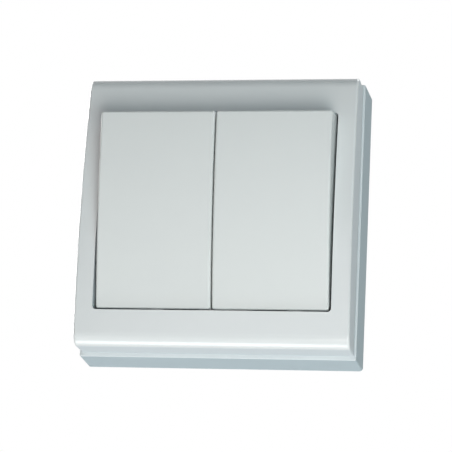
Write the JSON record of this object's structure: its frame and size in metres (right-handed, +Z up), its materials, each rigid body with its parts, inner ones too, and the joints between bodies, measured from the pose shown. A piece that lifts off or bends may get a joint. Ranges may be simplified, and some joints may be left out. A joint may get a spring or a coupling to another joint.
{
  "type": "double two-way light switch",
  "caption": "Surface-mounted wall switch with side-by-side tilting rockers in an arched cover frame on a back box; each rocker works a changeover contact.",
  "frame": {"origin": "middle of the back box's back face, on the wall plane", "axes": "+X to the right, +Z up, +Y into the wall; the room is on the -Y side"},
  "size_m": [0.08, 0.0328, 0.0818],
  "materials": {
    "base_plastic": "glossy moulded",
    "frame_plastic": "glossy moulded",
    "rocker_plastic": "glossy moulded",
    "housing_plastic": "moulded, fine grain",
    "lid_plastic": "moulded, fine grain",
    "carrier_plastic": "moulded, smooth",
    "plate_steel": "zinc plated",
    "screw_steel": "zinc plated",
    "spring_steel": "drawn wire",
    "contact_brass": "pressed, bare",
    "contact_silver": "silver faced"
  },
  "bodies": {
    "base": {"base_box": "base_plastic", "cover_frame": "frame_plastic", "support_plate": "plate_steel", "plate_screws": "screw_steel", "mechanism_housing": "housing_plastic", "mechanism_lid": "lid_plastic", "lid_screws": "screw_steel", "terminal_screws": "screw_steel", "left_fixed_tips": "contact_silver", "left_common_contact": "contact_brass", "left_upper_contact": "contact_brass", "left_lower_contact": "contact_brass", "left_terminal_blocks": "contact_brass", "right_fixed_tips": "contact_silver", "right_common_contact": "contact_brass", "right_upper_contact": "contact_brass", "right_lower_contact": "contact_brass", "right_terminal_blocks": "contact_brass"},
    "left_rocker_unit": {"left_rocker": "rocker_plastic", "left_carrier": "carrier_plastic", "left_spring": "spring_steel"},
    "left_plunger_unit": {"left_plunger": "carrier_plastic"},
    "left_see_saw": {"left_moving_contact": "contact_brass", "left_moving_tips": "contact_silver"},
    "right_rocker_unit": {"right_rocker": "rocker_plastic", "right_carrier": "carrier_plastic", "right_spring": "spring_steel"},
    "right_plunger_unit": {"right_plunger": "carrier_plastic"},
    "right_see_saw": {"right_moving_contact": "contact_brass", "right_moving_tips": "contact_silver"}
  },
  "joints": [
    {"name": "left_rocker_tilt", "type": "hinge", "parent": "base", "child": "left_rocker_unit", "pos_m": [-0.01295, -0.0246, -0.00085], "axis": [-1, 0, 0], "range_deg": [0, 18]},
    {"name": "left_contact_swing", "type": "hinge", "parent": "base", "child": "left_see_saw", "pos_m": [-0.01295, -0.00842, -0.00085], "axis": [1, 0, 0], "range_deg": [0, 12]},
    {"name": "left_plunger_slide", "type": "slide", "parent": "left_rocker_unit", "child": "left_plunger_unit", "axis": [0, -0.9877, -0.1564], "range_m": [0, 0.0008], "stiffness_N_per_m": 1500, "springref_m": -0.001, "deforming": ["left_spring"]},
    {"name": "right_rocker_tilt", "type": "hinge", "parent": "base", "child": "right_rocker_unit", "pos_m": [0.01295, -0.0246, -0.00085], "axis": [-1, 0, 0], "range_deg": [0, 18]},
    {"name": "right_contact_swing", "type": "hinge", "parent": "base", "child": "right_see_saw", "pos_m": [0.01295, -0.00842, -0.00085], "axis": [1, 0, 0], "range_deg": [0, 12]},
    {"name": "right_plunger_slide", "type": "slide", "parent": "right_rocker_unit", "child": "right_plunger_unit", "axis": [0, -0.9877, -0.1564], "range_m": [0, 0.0008], "stiffness_N_per_m": 1500, "springref_m": -0.001, "deforming": ["right_spring"]}
  ],
  "couplings": [
    {"joint": "left_contact_swing", "follows": "left_rocker_tilt", "ratio": 0.66667},
    {"joint": "right_contact_swing", "follows": "right_rocker_tilt", "ratio": 0.66667}
  ]
}
